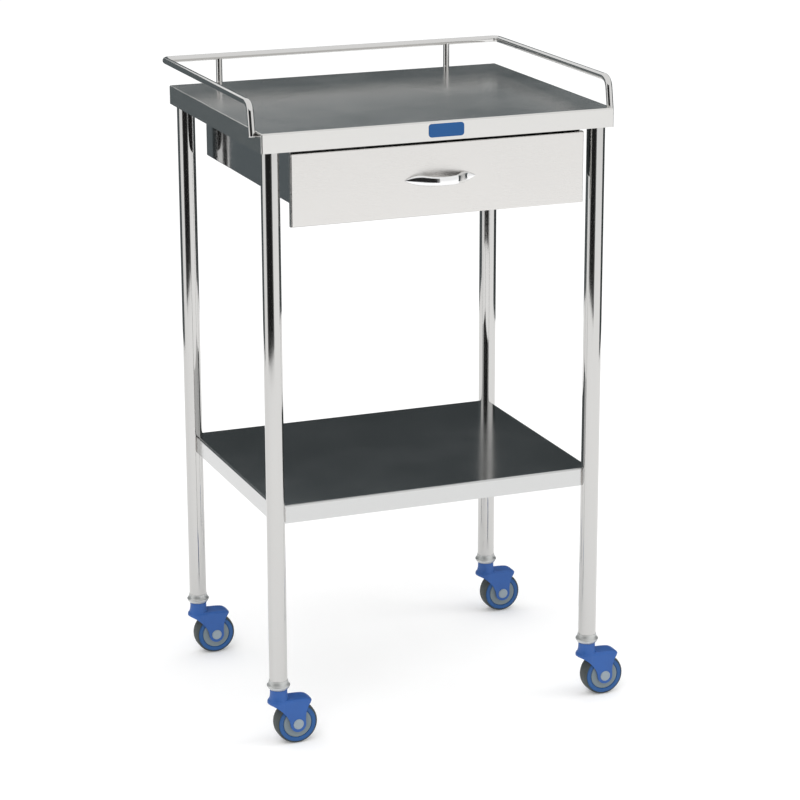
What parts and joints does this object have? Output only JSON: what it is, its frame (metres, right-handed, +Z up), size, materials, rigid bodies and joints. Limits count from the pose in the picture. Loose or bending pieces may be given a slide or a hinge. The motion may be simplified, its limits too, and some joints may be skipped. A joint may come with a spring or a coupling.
{
  "type": "instrument cart",
  "caption": "Steel instrument cart with a railed top, a pull-out drawer, a lower shelf and swivel casters.",
  "frame": {"origin": "on the floor, at the centre of the cart's footprint with the casters trailing to the right", "axes": "+Z up, +X to the right across the drawer front, the drawer opens towards -Y"},
  "size_m": [0.553, 0.4345, 0.9047],
  "materials": {
    "stainless_top": "fine brushed, grain across the width",
    "stainless_shelf": "fine brushed",
    "stainless_housing": "bright rolled",
    "stainless_front": "fine brushed",
    "stainless_pan": "fine brushed",
    "stainless_tube": "polished tube",
    "stainless_rod": "polished rod",
    "zinc_steel": "bright zinc plated",
    "chrome_cast": "chrome plated casting",
    "steel_screw": "zinc plated",
    "badge_enamel": "plain blue, no lettering",
    "ring_grey": "satin, grey",
    "socket_nylon": "moulded nylon",
    "steel_turned": "turned and zinc plated",
    "blue_plastic": "moulded, satin",
    "blue_wheel": "moulded, satin",
    "hub_grey": "moulded, satin",
    "axle_grey": "satin grey",
    "bush_nylon": "natural nylon",
    "tread_rubber": "dark grey rubber"
  },
  "bodies": {
    "frame": {"top_sheet": "stainless_top", "guard_rail": "stainless_rod", "rail_posts": "stainless_rod", "lower_shelf": "stainless_shelf", "name_badge": "badge_enamel", "housing_side_left": "stainless_housing", "housing_side_right": "stainless_housing", "housing_back": "stainless_housing", "slide_outer_left": "zinc_steel", "slide_outer_right": "zinc_steel", "leg_front_left": "stainless_tube", "leg_ring_front_left": "ring_grey", "stem_socket_front_left": "socket_nylon", "caster_stem_front_left": "steel_turned", "leg_front_right": "stainless_tube", "leg_ring_front_right": "ring_grey", "stem_socket_front_right": "socket_nylon", "caster_stem_front_right": "steel_turned", "leg_rear_left": "stainless_tube", "leg_ring_rear_left": "ring_grey", "stem_socket_rear_left": "socket_nylon", "caster_stem_rear_left": "steel_turned", "leg_rear_right": "stainless_tube", "leg_ring_rear_right": "ring_grey", "stem_socket_rear_right": "socket_nylon", "caster_stem_rear_right": "steel_turned"},
    "slide_middle": {"slide_middle_left": "zinc_steel", "slide_middle_right": "zinc_steel"},
    "drawer": {"drawer_front": "stainless_front", "drawer_pan": "stainless_pan", "drawer_handle": "chrome_cast", "handle_screws": "steel_screw", "slide_inner_left": "zinc_steel", "slide_inner_right": "zinc_steel"},
    "caster_front_left": {"caster_fork_front_left": "blue_plastic", "caster_axle_front_left": "axle_grey"},
    "wheel_front_left": {"wheel_centre_front_left": "blue_wheel", "wheel_tread_front_left": "tread_rubber", "hub_covers_front_left": "hub_grey", "wheel_bush_front_left": "bush_nylon"},
    "caster_front_right": {"caster_fork_front_right": "blue_plastic", "caster_axle_front_right": "axle_grey"},
    "wheel_front_right": {"wheel_centre_front_right": "blue_wheel", "wheel_tread_front_right": "tread_rubber", "hub_covers_front_right": "hub_grey", "wheel_bush_front_right": "bush_nylon"},
    "caster_rear_left": {"caster_fork_rear_left": "blue_plastic", "caster_axle_rear_left": "axle_grey"},
    "wheel_rear_left": {"wheel_centre_rear_left": "blue_wheel", "wheel_tread_rear_left": "tread_rubber", "hub_covers_rear_left": "hub_grey", "wheel_bush_rear_left": "bush_nylon"},
    "caster_rear_right": {"caster_fork_rear_right": "blue_plastic", "caster_axle_rear_right": "axle_grey"},
    "wheel_rear_right": {"wheel_centre_rear_right": "blue_wheel", "wheel_tread_rear_right": "tread_rubber", "hub_covers_rear_right": "hub_grey", "wheel_bush_rear_right": "bush_nylon"}
  },
  "joints": [
    {"name": "drawer_slide", "type": "slide", "parent": "frame", "child": "drawer", "axis": [0, -1, 0], "range_m": [0, 0.33]},
    {"name": "slide_middle_travel", "type": "slide", "parent": "frame", "child": "slide_middle", "axis": [0, -1, 0], "range_m": [0, 0.165]},
    {"name": "caster_swivel_front_left", "type": "hinge", "parent": "frame", "child": "caster_front_left", "pos_m": [-0.249, -0.1794, 0.07], "axis": [0, 0, 1], "continuous": true},
    {"name": "caster_swivel_front_right", "type": "hinge", "parent": "frame", "child": "caster_front_right", "pos_m": [0.223, -0.1794, 0.07], "axis": [0, 0, 1], "continuous": true},
    {"name": "caster_swivel_rear_left", "type": "hinge", "parent": "frame", "child": "caster_rear_left", "pos_m": [-0.249, 0.1886, 0.07], "axis": [0, 0, 1], "continuous": true},
    {"name": "caster_swivel_rear_right", "type": "hinge", "parent": "frame", "child": "caster_rear_right", "pos_m": [0.223, 0.1886, 0.07], "axis": [0, 0, 1], "continuous": true},
    {"name": "wheel_spin_front_left", "type": "hinge", "parent": "caster_front_left", "child": "wheel_front_left", "pos_m": [-0.2255, -0.1794, 0.03], "axis": [0, 1, 0], "continuous": true},
    {"name": "wheel_spin_front_right", "type": "hinge", "parent": "caster_front_right", "child": "wheel_front_right", "pos_m": [0.2465, -0.1794, 0.03], "axis": [0, 1, 0], "continuous": true},
    {"name": "wheel_spin_rear_left", "type": "hinge", "parent": "caster_rear_left", "child": "wheel_rear_left", "pos_m": [-0.2255, 0.1886, 0.03], "axis": [0, 1, 0], "continuous": true},
    {"name": "wheel_spin_rear_right", "type": "hinge", "parent": "caster_rear_right", "child": "wheel_rear_right", "pos_m": [0.2465, 0.1886, 0.03], "axis": [0, 1, 0], "continuous": true}
  ],
  "couplings": [
    {"joint": "slide_middle_travel", "follows": "drawer_slide", "ratio": 0.5}
  ]
}
